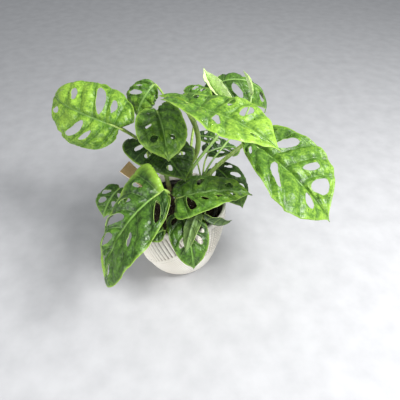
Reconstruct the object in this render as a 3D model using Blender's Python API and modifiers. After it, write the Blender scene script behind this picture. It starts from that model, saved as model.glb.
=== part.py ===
"""Monstera adansonii: a young climbing aroid of five rooted stems in a black grower's pot,
standing in a cream cover pot, with a plain card label in the soil.

Lengths are in millimetres and are turned into metres where a mesh is made. The origin is the
middle of the cover pot's flat foot, +Z is up and -Y is the front."""

import math
from dataclasses import dataclass

import bmesh
import bpy
import numpy as np
from mathutils import Matrix, Vector

MM = 0.001
GAP = 0.35  # left between pieces that touch
UP = Vector((0, 0, 1))

# Cover pot: outer radius at each height, from foot to lip
POT_SIDES = 48
POT_OUTSIDE = (
    (42, 0), (48, 5), (53.5, 14), (58.5, 28), (63.5, 48), (68, 75), (70.5, 100), (71.5, 119)
)
POT_LIP = ((70.5, 121.6), (69, 122), (67.8, 121))
POT_INSIDE = ((67, 112), (64.5, 75), (60, 48), (55, 28), (50, 14), (44, 6))

# Grower's pot, standing on the cover pot's floor
GROWER_SIDES = 32
GROWER_FLOOR = 6 + GAP
GROWER_OUTSIDE = ((59.5, 113), (59.5, 109), (56.5, 108.5), (43, GROWER_FLOOR + 1), (42, GROWER_FLOOR))
GROWER_INSIDE = ((40.8, GROWER_FLOOR + 1.6), (55.2, 108.5), (57.8, 110), (58.2, 113))
DRAIN_RADIUS = 4
DRAIN_RING = 26
DRAIN_COUNT = 4

# Potting soil: heaped a little in the middle
SOIL_TOP = 104
SOIL_HEAP = 3
SOIL_PROFILE = (
    (0, SOIL_TOP + SOIL_HEAP),
    (18, SOIL_TOP + 2.6),
    (36, SOIL_TOP + 1.2),
    (54, SOIL_TOP - 1),
    (40.3, GROWER_FLOOR + 2.3),
    (0, GROWER_FLOOR + 2.3),
)

# Card label, narrower towards its foot and leaning out over the left of the rim
LABEL_FOOT = Vector((-14, 19, 97))
LABEL_TOP = Vector((-83, 46, 150))
LABEL_WIDTH = 34
LABEL_TAPER = 0.35
LABEL_THICK = 1.4
LABEL_FACING = Vector((0.62, -0.06, 0.8))

# Leaf blade
BLADE_THICK = 0.9
KEEL_THICK = 2.4  # midrib and blade together, at the leaf's base
COLUMNS = (-1, -0.84, -0.48, -0.1, 0, 0.1, 0.48, 0.84, 1)  # across, in half widths
MIDRIB_STEPS = 24
WAVES = 1.5  # along each margin

# Stems: radius, and the points each passes through from its buried end to its tip
SOIL_DEPTH = 22
STEMS = {
    "stem_left": (3.8, ((-20, -8, 82), (-22, -8, 118), (-27, -4, 155))),
    "stem_front": (3.6, ((2, -30, 82), (3, -29, 112), (4, -24, 134))),
    "stem_right": (4.4, ((30, 8, 82), (34, 14, 115), (40, 25, 155))),
    "stem_back": (4.8, ((14, 32, 82), (16, 35, 118), (18, 40, 165))),
    "stem_rear_left": (3.8, ((-14, 42, 82), (-17, 44, 114), (-24, 48, 150))),
}


@dataclass
class Leaf:
    """One leaf: its blade hangs between base and tip, and its stalk leaves its stem at node.

    right and left give the size of the hole in each panel between two side veins, from the
    base to the tip, with 0 for a whole panel. Angles are in degrees. fold is how far each
    half lifts from the midrib and curl how far it turns on from there to the margin, right
    half first. late above 1 keeps the midrib's bend for the tip. lobes are how far each half
    reaches back past the stalk, in leaf lengths, and a smaller heart brings its widest place
    nearer the base. bow moves the middle of the stalk sideways."""

    name: str
    stem: str
    node: float
    base: tuple
    tip: tuple
    width: float
    right: tuple
    left: tuple
    roll: float = 0
    arch: float = 40
    late: float = 1
    fold: tuple = (15, 15)
    curl: tuple = (-30, -30)
    lobes: tuple = (0.08, 0.08)
    heart: tuple = (0.75, 0.75)
    twist: float = 0
    wave: float = 2
    stalk: float = 1.6
    bow: tuple = (0, 0, 0)
    colour: str = "leaf"


LEAVES = (
    Leaf("leaf_far_left", "stem_rear_left", 0.5, (-78, 30, 228), (-184, 112, 236), 104,
         (0, 0.5, 1, 0, 0.5, 0, 0), (0, 0, 0.5, 1, 0, 0.5, 0),
         roll=65, arch=70, late=2, fold=(0, 5), curl=(-75, -20), lobes=(0.12, -0.1),
         heart=(0.72, 0.72), stalk=2.4, bow=(-4, 30, 0)),
    Leaf("leaf_back_left", "stem_back", 0.05, (-33, 101, 259), (-62, 84, 215), 64,
         (0, 0.3, 0.9, 0, 0), (0, 0.4, 0, 0, 0),
         roll=35, arch=70, fold=(0, -50), curl=(-25, -65), lobes=(-0.15, -0.05), stalk=1.5),
    Leaf("leaf_centre_left", "stem_rear_left", 1.0, (-28, 60, 238), (-8, -17, 205), 76,
         (0, 0, 0.3, 0.5, 0), (0, 0, 0, 0.3, 0),
         arch=60, fold=(4, 27), curl=(10, 30), lobes=(0.02, -0.35), heart=(0.9, 0.65), stalk=1.8,
         bow=(0, 14, 0)),
    Leaf("leaf_centre_low", "stem_left", 1.0, (-43, 40, 202), (13, -14, 168), 84,
         (0, 0.6, 0.5, 0, 0.6, 0), (0, 0.4, 0.6, 0.6, 0, 0),
         arch=45, fold=(5, 15), curl=(-20, -20), lobes=(0.25, -0.25), heart=(0.6, 0.6), stalk=1.8),
    Leaf("leaf_front_left", "stem_left", 0.5, (-12, -62, 195), (-89, -130, 85), 102,
         (0, 0.3, 0.4, 0.9, 0.8, 0.6, 0), (0, 0.8, 0, 0.3, 0, 0.5, 0),
         roll=-5, twist=42, arch=80, fold=(38, -6), curl=(-50, -25), lobes=(0.05, -0.1),
         heart=(0.34, 0.8), stalk=2.2),
    Leaf("leaf_front_right", "stem_front", 1.0, (1, -38, 159), (107, -21, 150), 90,
         (0, 0.8, 0.4, 0.4, 0.4, 0), (0, 0, 0.6, 0, 0.7, 0),
         fold=(17, 5), curl=(-30, -25), lobes=(0.06, 0.06), heart=(0.36, 0.75), stalk=2),
    Leaf("leaf_far_right", "stem_right", 0.75, (99, 32, 205), (203, -74, 150), 124,
         (0, 0.4, 0, 0.9, 0, 0.7, 0), (0, 0, 0.9, 0, 0.5, 1, 0),
         roll=-15, arch=55, fold=(36, -2), curl=(-20, 0), lobes=(-0.12, 0.1), heart=(0.95, 0.88),
         stalk=3.2),
    Leaf("leaf_top", "stem_back", 1.0, (13, 7, 278), (128, -58, 250), 92,
         (0, 0.3, 0, 0.7, 0, 0.3, 0), (0, 0.3, 0, 0.3, 0.7, 0, 0),
         roll=10, twist=25, arch=30, late=1.4, fold=(21, 8), curl=(-20, -20), lobes=(0.2, 0.3),
         heart=(0.85, 0.97), stalk=3.6, bow=(28, 8, 0)),
    Leaf("leaf_back_right", "stem_back", 0.4, (43, 107, 247), (137, 128, 195), 74,
         (0, 0, 0.8, 0, 0.7, 0), (0, 0.6, 0, 0.9, 0, 0),
         roll=-10, arch=140, fold=(-20, -10), curl=(-40, -40), stalk=2, bow=(-6, 0, 0)),
    Leaf("leaf_mid_back", "stem_rear_left", 0.7, (12, 60, 264), (51, 47, 264), 46,
         (0, 0.6, 0.6, 0), (0, 0.7, 0.6, 0),
         arch=30, stalk=1.3),
    Leaf("leaf_new", "stem_back", 0.62, (68, 76, 245), (38, 124, 272), 40,
         (0,) * 5, (0,) * 5,
         arch=-60, fold=(65, 35), curl=(20, 20), lobes=(0.2, 0.1), wave=0, stalk=2.2,
         bow=(9, 5, 0), colour="young_leaf"),
    Leaf("leaf_bud", "stem_right", 1.0, (104, 64, 262), (93, 86, 285), 16,
         (0,) * 4, (0,) * 4,
         arch=10, fold=(80, 80), curl=(30, 30), wave=0, stalk=1.3, colour="young_leaf"),
    Leaf("leaf_inner", "stem_right", 0.5, (32, 84, 180), (63, 82, 172), 34,
         (0, 0.6, 0.6, 0), (0, 0.7, 0, 0),
         stalk=1.2),
    Leaf("leaf_rear_right", "stem_right", 0.38, (46, 82, 150), (98, 116, 133), 58,
         (0, 0.7, 0.7, 0.5, 0), (0, 0.7, 0.8, 0, 0),
         arch=50, stalk=1.4),
    Leaf("leaf_right_low", "stem_right", 0.2, (56, 58, 138), (98, 3, 102), 56,
         (0, 0.6, 0.7, 0.5, 0), (0, 0.5, 0.7, 0.6, 0),
         roll=-10, arch=110, curl=(-50, -50), stalk=1.4),
    Leaf("leaf_left_low", "stem_left", 0.2, (-87, 12, 135), (-108, -28, 112), 50,
         (0, 0.8, 0.8, 0), (0, 0.7, 0.7, 0),
         arch=70, curl=(-50, -50), stalk=1.3),
    Leaf("leaf_over_rim", "stem_front", 0.25, (6, -36, 128), (24, -96, 79), 54,
         (0, 0.8, 0, 0.7, 0, 0), (0, 0.7, 1, 0.8, 0, 0),
         arch=115, curl=(-20, -20), lobes=(0, 0), heart=(0.65, 0.65), stalk=1.4),
    Leaf("leaf_pale_back", "stem_front", 0.65, (29, -55, 147), (14, -99, 118), 24,
         (0,) * 4, (0,) * 4,
         roll=160, arch=-30, stalk=1.2),
    Leaf("leaf_rim_left", "stem_left", 0.0, (-17, -71, 131), (-37, -80, 119), 28,
         (0,) * 4, (0,) * 4,
         stalk=1.1),
    Leaf("leaf_rim_right", "stem_right", 0.0, (38, -56, 140), (77, -48, 128), 22,
         (0,) * 4, (0,) * 4,
         roll=60, arch=-90, fold=(50, 50), stalk=1.1, bow=(14, 0, 0)),
    Leaf("leaf_rear_left", "stem_rear_left", 0.15, (-20, 74, 150), (-42, 148, 112), 66,
         (0, 0.6, 0.8, 0.6, 0), (0, 0.7, 0.9, 0.5, 0),
         arch=60, stalk=1.4),
)


# Materials

COLOURS = {  # base colour, roughness
    "glaze": ((0.82, 0.78, 0.70), 0.45),
    "grower_plastic": ((0.02, 0.02, 0.02), 0.5),
    "soil": ((0.05, 0.03, 0.02), 0.95),
    "card": ((0.42, 0.24, 0.08), 0.8),
    "stem": ((0.12, 0.22, 0.04), 0.5),
    "leaf": ((0.08, 0.25, 0.03), 0.35),
    "young_leaf": ((0.45, 0.6, 0.2), 0.4),
}


def material(name):
    """The Principled material of this name, made when it is first asked for."""
    found = bpy.data.materials.get(name)
    if found:
        return found
    made = bpy.data.materials.new(name)
    made.use_nodes = True
    colour, roughness = COLOURS[name]
    shader = made.node_tree.nodes["Principled BSDF"]
    shader.inputs["Base Color"].default_value = (*colour, 1)
    shader.inputs["Roughness"].default_value = roughness
    made.diffuse_color = (*colour, 1)
    return made


# Objects and collections


def clear_scene():
    for obj in list(bpy.data.objects):
        bpy.data.objects.remove(obj)


def collection(name):
    made = bpy.data.collections.new(name)
    bpy.context.scene.collection.children.link(made)
    return made


def add_object(name, data, group, finish=None):
    obj = bpy.data.objects.new(name, data)
    group.objects.link(obj)
    if finish:
        data.materials.append(material(finish))
    return obj


def as_cutter(obj):
    obj.hide_render = True
    obj.display_type = "WIRE"
    return obj


def smooth(mesh, angle=40):
    mesh.shade_smooth()
    mesh.set_sharp_from_angle(angle=math.radians(angle))


def boolean(obj, other, operation):
    modifier = obj.modifiers.new(operation.lower(), "BOOLEAN")
    modifier.operation = operation
    modifier.object = other
    return modifier


def turned(name, profile, sides, group, finish):
    """A turned shape. Its profile of (radius, height) points runs down the outer side."""
    mesh = bpy.data.meshes.new(name)
    points = [(radius * MM, 0, height * MM) for radius, height in profile]
    count = len(points)
    last = count if profile[0][0] and profile[-1][0] else count - 1
    mesh.from_pydata(points, [(i, (i + 1) % count) for i in range(last)], [])
    obj = add_object(name, mesh, group, finish)
    screw = obj.modifiers.new("turn", "SCREW")
    screw.steps = screw.render_steps = sides
    screw.use_merge_vertices = True
    screw.merge_threshold = 0.00005
    screw.use_smooth_shade = True
    return obj


def tube(name, points, radii, sides_level, group, finish=None):
    """A mesh tube along points, closed at both ends, with a radius for each point."""
    curve = bpy.data.curves.new(name, "CURVE")
    curve.dimensions = "3D"
    curve.bevel_depth = MM
    curve.bevel_resolution = sides_level
    curve.use_fill_caps = True
    spline = curve.splines.new("POLY")
    spline.points.add(len(points) - 1)
    for place, point, radius in zip(spline.points, points, radii):
        place.co = (*(Vector(point) * MM), 1)
        place.radius = radius
    guide = add_object(name + "_curve", curve, group)
    graph = bpy.context.evaluated_depsgraph_get()
    mesh = bpy.data.meshes.new_from_object(guide.evaluated_get(graph))
    bpy.data.objects.remove(guide)
    shape = bmesh.new()
    shape.from_mesh(mesh)
    bmesh.ops.remove_doubles(shape, verts=shape.verts, dist=0.00001)
    bmesh.ops.recalc_face_normals(shape, faces=shape.faces)
    shape.to_mesh(mesh)
    shape.free()
    smooth(mesh, 60)
    return add_object(name, mesh, group, finish)


def bezier(points, share):
    """The point at this share of a curve with four control points."""
    a, b, c, d = points
    rest = 1 - share
    return a * rest**3 + b * (3 * rest**2 * share) + c * (3 * rest * share**2) + d * share**3


# Pots and soil


def cover_pot(group):
    profile = (0, 6), *reversed(POT_INSIDE), *reversed(POT_LIP), *reversed(POT_OUTSIDE), (0, 0)
    return turned("cover_pot", profile, POT_SIDES, group, "glaze")


def grower_pot(group, cutters):
    profile = (0, GROWER_FLOOR + 1.6), *GROWER_INSIDE, *GROWER_OUTSIDE, (0, GROWER_FLOOR)
    obj = turned("grower_pot", profile, GROWER_SIDES, group, "grower_plastic")
    for i in range(DRAIN_COUNT):
        turn = (i + 0.5) * math.tau / DRAIN_COUNT
        bpy.ops.mesh.primitive_cylinder_add(
            vertices=10,
            radius=DRAIN_RADIUS * MM,
            depth=8 * MM,
            location=(
                DRAIN_RING * math.cos(turn) * MM,
                DRAIN_RING * math.sin(turn) * MM,
                GROWER_FLOOR * MM,
            ),
        )
        drain = as_cutter(bpy.context.object)
        drain.name = f"drain_{i + 1}"
        move_to(drain, cutters)
        boolean(obj, drain, "DIFFERENCE")
    return obj


def move_to(obj, group):
    for old in list(obj.users_collection):
        old.objects.unlink(obj)
    group.objects.link(obj)


def label_block(name, margin, group, finish=None):
    """The label's card, or with a margin the slot that it stands in."""
    along = (LABEL_TOP - LABEL_FOOT).normalized()
    side = LABEL_FACING.cross(along).normalized()
    turn = Matrix((side, along.cross(side), along)).transposed().to_4x4()
    length = (LABEL_TOP - LABEL_FOOT).length
    shape = bmesh.new()
    bmesh.ops.create_cube(shape, size=1)
    grow = 2 * margin
    size = Vector((LABEL_WIDTH + grow, LABEL_THICK + grow, length + grow)) * MM
    bmesh.ops.scale(shape, vec=size, verts=shape.verts)
    for vert in shape.verts:
        if vert.co.z < 0:
            vert.co.x *= LABEL_TAPER
    mesh = bpy.data.meshes.new(name)
    shape.to_mesh(mesh)
    shape.free()
    mesh.transform(Matrix.Translation((LABEL_FOOT + LABEL_TOP) / 2 * MM) @ turn)
    return add_object(name, mesh, group, finish)


# Stems


def stem_path(name, count=7):
    """Points up a stem, on a curve through the three that place it."""
    foot, middle, top = (Vector(p) for p in STEMS[name][1])
    bend = middle * 2 - (foot + top) / 2
    shares = [i / (count - 1) for i in range(count)]
    return [foot * (1 - s) ** 2 + bend * (2 * s * (1 - s)) + top * s**2 for s in shares]


def stem(name, group, cutters):
    """A stem, and the slightly fatter copy that cuts the soil and the stalks on it."""
    radius = STEMS[name][0]
    points = stem_path(name)
    radii = [radius * (1 - 0.12 * i / (len(points) - 1)) for i in range(len(points))]
    made = tube(name, points, radii, 2, group, "stem")
    first = (points[1] - points[0]).normalized() * GAP
    last = (points[-1] - points[-2]).normalized() * GAP
    longer = [points[0] - first, *points[1:-1], points[-1] + last]
    cutter = tube(name + "_clearance", longer, [r + GAP for r in radii], 2, cutters)
    return made, as_cutter(cutter)


def node_place(leaf):
    """Where a leaf's stalk leaves its stem, between the soil and the stem's tip."""
    points = stem_path(leaf.stem, 25)
    low, high = SOIL_TOP + SOIL_HEAP + 4, points[-1].z - 3
    height = low + (high - low) * leaf.node
    return min(points, key=lambda p: abs(p.z - height))


# Leaves


def flat_place(leaf, s, t):
    """A point of the flat blade: leaf lengths along, and half widths across."""
    reach = abs(t)
    half = 0 if t > 0 else 1
    lobe = leaf.lobes[half]
    start = min(1, s / 0.3)
    back, sweep = (1, 0.8) if lobe > 0 else (start * (2 - start), 1.6)
    root = s**1.5
    end = (1 + lobe) * s ** (1.2 - 0.4 * min(1, s / 0.4)) - lobe * back
    power = sweep + (1.6 - sweep) * start
    swell = math.sin(math.pi * (0.02 + 0.98 * s) ** leaf.heart[half])
    width = max(0.0, swell) ** (0.75 + 0.95 * s**6)
    return root + (end - root) * reach**power, width * reach


class Bend:
    """Takes points of a leaf's flat blade to their places on the bent and turned leaf."""

    def __init__(self, leaf):
        self.leaf = leaf
        self.base = Vector(leaf.base)
        chord = Vector(leaf.tip) - self.base
        self.ahead = chord.normalized()
        level = self.ahead.cross(UP).normalized()
        roll = math.radians(leaf.roll)
        self.side = level * math.cos(roll) + level.cross(self.ahead) * math.sin(roll)
        self.normal = self.side.cross(self.ahead)
        self.share = np.linspace(0, 1, MIDRIB_STEPS + 1)
        slope = -math.radians(leaf.arch) * self.share**leaf.late
        middle = (slope[1:] + slope[:-1]) / 2
        run = np.append(0, np.cumsum(np.cos(middle))) / MIDRIB_STEPS
        rise = np.append(0, np.cumsum(np.sin(middle))) / MIDRIB_STEPS
        tilt = math.atan2(rise[-1], run[-1])
        self.length = chord.length / math.hypot(rise[-1], run[-1])
        self.run = (run * math.cos(tilt) + rise * math.sin(tilt)) * self.length
        self.rise = (rise * math.cos(tilt) - run * math.sin(tilt)) * self.length
        self.slope = slope - tilt

    def midrib(self, along):
        """The point of the midrib, its direction and the blade's normal there."""
        slope = float(np.interp(along, self.share, self.slope))
        run = float(np.interp(along, self.share, self.run))
        rise = float(np.interp(along, self.share, self.rise))
        before = min(along, 0) * self.length
        run += before * math.cos(slope)
        rise += before * math.sin(slope)
        point = self.base + self.ahead * run + self.normal * rise
        onward = self.ahead * math.cos(slope) + self.normal * math.sin(slope)
        return point, onward, self.side.cross(onward)

    def place(self, s, t):
        """The place of the point at side vein s and t half widths across, right positive."""
        leaf = self.leaf
        along, across = flat_place(leaf, s, t)
        half = 0 if t > 0 else 1
        point, onward, normal = self.midrib(along)
        twist = Matrix.Rotation(math.radians(leaf.twist) * along, 3, onward)
        start = math.radians(leaf.fold[half])
        turn = math.radians(leaf.curl[half]) or 1e-6
        end = start + turn * across
        reach = leaf.width / 2
        out = reach * (math.sin(end) - math.sin(start)) / turn
        lift = reach * (math.cos(start) - math.cos(end)) / turn
        phase = (leaf.width + half * 2) * 1.3
        lift += leaf.wave * math.sin(math.tau * WAVES * s + phase) * t * t * math.sin(math.pi * s)
        offset = self.side * math.copysign(out, t) + normal * lift
        return point + twist @ offset


def pierce(shape, panel_faces, low, high, size, sign):
    """Opens a long hole in one panel between the side veins at low and high."""
    bmesh.ops.inset_region(shape, faces=panel_faces, thickness=0.001, use_even_offset=False)
    middle = (low + high) / 2
    first, centre, last = 0.46 - 0.32 * size, 0.5, 0.55 + 0.28 * size
    for vert in {v for face in panel_faces for v in face.verts}:
        column = abs(vert.co.x)
        near, far = column < 0.3, column > 0.7
        t = first if near else last if far else centre
        fullness = (0.3 if near else 0.5 if far else 0.85) * (0.2 + 0.8 * size)
        above = vert.co.y > middle
        vert.co.x = sign * t
        vert.co.y = middle + (1 if above else -1) * fullness * (high - low) / 2
    bmesh.ops.delete(shape, geom=panel_faces, context="FACES")


def blade_cage(leaf):
    """The blade as a flat sheet of panels with its holes, in vein (y) and half width (x)."""
    panels = len(leaf.right)
    shape = bmesh.new()
    bmesh.ops.create_grid(shape, x_segments=len(COLUMNS) - 1, y_segments=panels, size=1)
    even = np.linspace(-1, 1, len(COLUMNS))
    for vert in shape.verts:
        vert.co.x = np.interp(vert.co.x, even, COLUMNS)
        vert.co.y = (vert.co.y + 1) / 2
    for sign, sizes in ((1, leaf.right), (-1, leaf.left)):
        for panel, size in enumerate(sizes):
            if not size:
                continue
            low, high = panel / panels, (panel + 1) / panels
            found = []
            for face in shape.faces:
                middle = face.calc_center_median()
                if low < middle.y < high and 0.1 < middle.x * sign < 0.84:
                    found.append(face)
            pierce(shape, found, low, high, size, sign)
    return shape


def blade(leaf, bend, group):
    """The blade bent to its place, thickened downwards, with the midrib as a keel."""
    shape = blade_cage(leaf)
    bmesh.ops.triangulate(shape, faces=shape.faces)
    stations = {}
    for vert in shape.verts:
        s, t = vert.co.y, vert.co.x
        stations[vert.index] = (s, t)
        vert.co = bend.place(s, t) * MM
    keel = [
        max(BLADE_THICK, KEEL_THICK * (1 - 0.6 * s)) if abs(t) < 0.01 else BLADE_THICK
        for s, t in stations.values()
    ]
    mesh = bpy.data.meshes.new(leaf.name)
    shape.to_mesh(mesh)
    shape.free()
    obj = add_object(leaf.name, mesh, group, leaf.colour)
    weights = obj.vertex_groups.new(name="thickness")
    for index, thick in enumerate(keel):
        weights.add([index], thick / KEEL_THICK, "REPLACE")
    weld = obj.modifiers.new("tip", "WELD")
    weld.merge_threshold = 0.00005
    solid = obj.modifiers.new("thickness", "SOLIDIFY")
    solid.thickness = KEEL_THICK * MM
    solid.offset = -1
    solid.vertex_group = "thickness"
    smooth(mesh, 50)
    return obj


def stalk_path(leaf, bend, count=9):
    """From the middle of the stem to the blade, and on into the midrib's keel."""
    start = node_place(leaf)
    base, onward, normal = bend.midrib(0)
    span = (base - start).length
    outward = (base - start).normalized()
    leave = (outward + UP * 0.5).normalized()
    arrive = (onward + UP * 1.1 + outward * 0.4).normalized()
    below = normal * -(KEEL_THICK * 0.45)
    bow = Vector(leaf.bow)
    control = (
        start,
        start + leave * span * 0.33 + bow,
        base + below - arrive * span * 0.33 + bow,
        base + below,
    )
    points = [bezier(control, i / (count - 1)) for i in range(count)]
    for along in (0.05, 0.12):
        place, _, up = bend.midrib(along)
        points.append(place - up * KEEL_THICK * 0.45)
    return points


def stalk(leaf, bend, group):
    points = stalk_path(leaf, bend)
    last = len(points) - 1
    radii = [leaf.stalk * (1.1 - 0.1 * min(1, i / 4)) for i in range(last - 1)]
    radii += [leaf.stalk * 0.75, leaf.stalk * 0.45]
    return tube(leaf.name + "_stalk", points, radii, 1, group)


def grow_leaf(leaf, group, cutters, clearance):
    bend = Bend(leaf)
    obj = blade(leaf, bend, group)
    boolean(obj, as_cutter(stalk(leaf, bend, cutters)), "UNION")
    boolean(obj, clearance[leaf.stem], "DIFFERENCE")
    return obj


def main():
    clear_scene()
    plant = collection("monstera_adansonii")
    cutters = collection("cutters")
    cover_pot(plant)
    grower_pot(plant, cutters)
    soil = turned("soil", SOIL_PROFILE, GROWER_SIDES, plant, "soil")
    label_block("label", 0, plant, "card")
    boolean(soil, as_cutter(label_block("label_slot", GAP, cutters)), "DIFFERENCE")
    clearance = {}
    for name in STEMS:
        clearance[name] = stem(name, plant, cutters)[1]
        boolean(soil, clearance[name], "DIFFERENCE")
    for leaf in LEAVES:
        grow_leaf(leaf, plant, cutters, clearance)


main()
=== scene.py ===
import math
import random
from dataclasses import dataclass

import bmesh
import bpy
import numpy as np
from mathutils import Matrix, Vector, kdtree, noise


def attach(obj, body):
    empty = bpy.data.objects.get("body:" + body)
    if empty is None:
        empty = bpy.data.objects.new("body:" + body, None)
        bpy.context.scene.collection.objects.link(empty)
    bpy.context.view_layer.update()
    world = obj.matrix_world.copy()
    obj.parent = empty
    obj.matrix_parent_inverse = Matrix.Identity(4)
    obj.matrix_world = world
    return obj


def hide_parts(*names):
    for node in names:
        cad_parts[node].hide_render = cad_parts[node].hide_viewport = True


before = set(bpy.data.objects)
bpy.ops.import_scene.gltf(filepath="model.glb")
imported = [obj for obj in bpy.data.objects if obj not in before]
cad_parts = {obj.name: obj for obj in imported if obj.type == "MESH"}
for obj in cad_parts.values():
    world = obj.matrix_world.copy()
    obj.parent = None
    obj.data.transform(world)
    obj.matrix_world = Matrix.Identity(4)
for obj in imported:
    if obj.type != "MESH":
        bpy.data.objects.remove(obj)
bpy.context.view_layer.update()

# Cover pot. Thick cream stoneware with a dry matt glaze. It is cast in a mould that presses
# bold slanting ribs above a rising band, fine ribs below the band, and small beads on the
# two sides between.
MM = 0.001
POT_INSIDE = ((0, 6), (44, 6), (50, 14), (55, 28), (60, 48), (64.5, 75), (67, 112))
POT_LIP = ((67.5, 119.8), (67.9, 121.2), (68.6, 121.9), (69.4, 122), (70.5, 121.5), (71.2, 120.6))
POT_OUTSIDE = (
    (71.5, 119), (70.5, 100), (68, 75), (63.5, 48), (58.5, 28), (53.5, 14), (48, 5), (45.3, 2),
)
POT_FOOT = ((44, 0.7), (42.5, 0), (40, 0), (39, 1), (0, 1))
POT_ROWS = 104
POT_SIDES = 440
PATTERN_RADIUS = 66  # radius at which lengths round the pot are measured
PATTERN_TURN = 0.35  # how far the pattern is turned from the front
SMOOTH_TOP = (108, 115)
SMOOTH_FOOT = (6, 14)
BAND_MIDDLE = 62
BAND_RISE = 29
BAND_HALF_WIDTH = 2.3
BAND_HEIGHT = 3.2
RIB_STEP = 7.6
RIB_SLANT = 0.34
RIB_HEIGHT = 3.5
GROOVE_DEPTH = 2.1
FINE_STEP = 4.2
FINE_SLANT = 0.6
FINE_HEIGHT = 0.45
BEAD_STEP = 5.4
BEAD_RADIUS = 0.38  # in bead steps
BEAD_HEIGHT = 2.2
BEAD_GROUND = 0.7
BEAD_FADE = (48, 54)


class Finish:
    """A Principled material, with short ways to add the nodes that feed it."""

    def __init__(self, name, roughness):
        self.material = bpy.data.materials.new(name)
        self.material.use_nodes = True
        self.tree = self.material.node_tree
        self.shader = self.tree.nodes["Principled BSDF"]
        self.shader.inputs["Roughness"].default_value = roughness
        self.place = self.tree.nodes.new("ShaderNodeTexCoord").outputs["Object"]

    def feed(self, socket, value):
        if isinstance(value, bpy.types.NodeSocket):
            self.tree.links.new(value, socket)
        else:
            socket.default_value = value

    def node(self, kind, **inputs):
        made = self.tree.nodes.new("ShaderNode" + kind)
        for name, value in inputs.items():
            self.feed(made.inputs[name.replace("_", " ")], value)
        return made

    def noise(self, scale, detail=4, vector=None):
        vector = vector or self.place
        return self.node("TexNoise", Vector=vector, Scale=scale, Detail=detail).outputs["Fac"]

    def cells(self, scale, feature="F1", vector=None):
        cells = self.node("TexVoronoi", Vector=vector or self.place, Scale=scale)
        cells.feature = feature
        return cells.outputs

    def stored(self, name):
        """The outputs of a value that the mesh holds at each point."""
        reader = self.tree.nodes.new("ShaderNodeAttribute")
        reader.attribute_name = name
        return reader.outputs

    def ramp(self, share, *stops):
        """Colour stops, each a place from 0 to 1 and a colour."""
        made = self.node("ValToRGB", Fac=share)
        elements = made.color_ramp.elements
        while len(elements) < len(stops):
            elements.new(0.5)
        for element, (position, colour) in zip(elements, stops):
            element.position = position
            element.color = (*colour, 1)
        return made.outputs["Color"]

    def spread(self, value, low, high, to_low=0.0, to_high=1.0):
        made = self.node(
            "MapRange", Value=value, From_Min=low, From_Max=high, To_Min=to_low, To_Max=to_high
        )
        return made.outputs["Result"]

    def maths(self, operation, first, second=0.0):
        made = self.tree.nodes.new("ShaderNodeMath")
        made.operation = operation
        self.feed(made.inputs[0], first)
        self.feed(made.inputs[1], second)
        return made.outputs[0]

    def mix(self, share, first, second):
        made = self.tree.nodes.new("ShaderNodeMix")
        made.data_type = "RGBA"
        self.feed(made.inputs[0], share)
        self.feed(made.inputs[6], (*first, 1) if isinstance(first, tuple) else first)
        self.feed(made.inputs[7], (*second, 1) if isinstance(second, tuple) else second)
        return made.outputs[2]

    def colour(self, value):
        self.feed(self.shader.inputs["Base Color"], value)

    def roughen(self, value):
        self.feed(self.shader.inputs["Roughness"], value)

    def bump(self, height, depth, strength=1.0):
        """Bumps this deep, in metres, where height runs from 0 to 1."""
        made = self.node("Bump", Height=height, Distance=depth, Strength=strength)
        self.feed(self.shader.inputs["Normal"], made.outputs["Normal"])


def as_mesh(name, shape):
    """The bmesh as a mesh. The bmesh itself is freed."""
    mesh = bpy.data.meshes.new(name)
    shape.to_mesh(mesh)
    shape.free()
    return mesh


def finished(name, shape, *materials):
    """A smooth-shaded piece made from a bmesh, with its materials."""
    mesh = as_mesh(name, shape)
    mesh.shade_smooth()
    for material in materials:
        mesh.materials.append(material)
    piece = bpy.data.objects.new(name, mesh)
    bpy.context.scene.collection.objects.link(piece)
    return piece


def turned(profile, sides):
    """A bmesh turned from a profile of (radius, height) that starts and ends on the axis."""
    shape = bmesh.new()
    line = [shape.verts.new((radius * MM, 0, height * MM)) for radius, height in profile]
    edges = [shape.edges.new(pair) for pair in zip(line, line[1:])]
    bmesh.ops.spin(
        shape,
        geom=[*line, *edges],
        cent=(0, 0, 0),
        axis=(0, 0, 1),
        angle=math.tau,
        steps=sides,
        use_merge=True,
    )
    bmesh.ops.remove_doubles(shape, verts=shape.verts, dist=0.00001)
    bmesh.ops.recalc_face_normals(shape, faces=shape.faces)
    return shape


def ease(value, low, high):
    """0 below low, 1 above high, and smooth between."""
    share = min(1, max(0, (value - low) / (high - low)))
    return share * share * (3 - 2 * share)


def bell(distance, width):
    return math.exp(-((distance / width) ** 2))


def band_relief(above_band, height):
    """The smooth band, with a shallow dip along both sides."""
    band = BAND_HEIGHT * bell(above_band, BAND_HALF_WIDTH)
    dip = 1.3 * bell(abs(above_band) - 4.2, 1.2)
    return (band - dip) * (1 - ease(height, 105, 112))


def bead_relief(around, height):
    """Rows of beads on a sunken ground, every other row half a step along."""
    column = round(around / BEAD_STEP)
    row = height / BEAD_STEP + 0.5 * (column % 2)
    reach = math.hypot(around / BEAD_STEP - column, row - round(row)) / BEAD_RADIUS
    return (max(0, 1 - reach * reach) * BEAD_HEIGHT - BEAD_GROUND) * ease(height, *BEAD_FADE)


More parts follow.
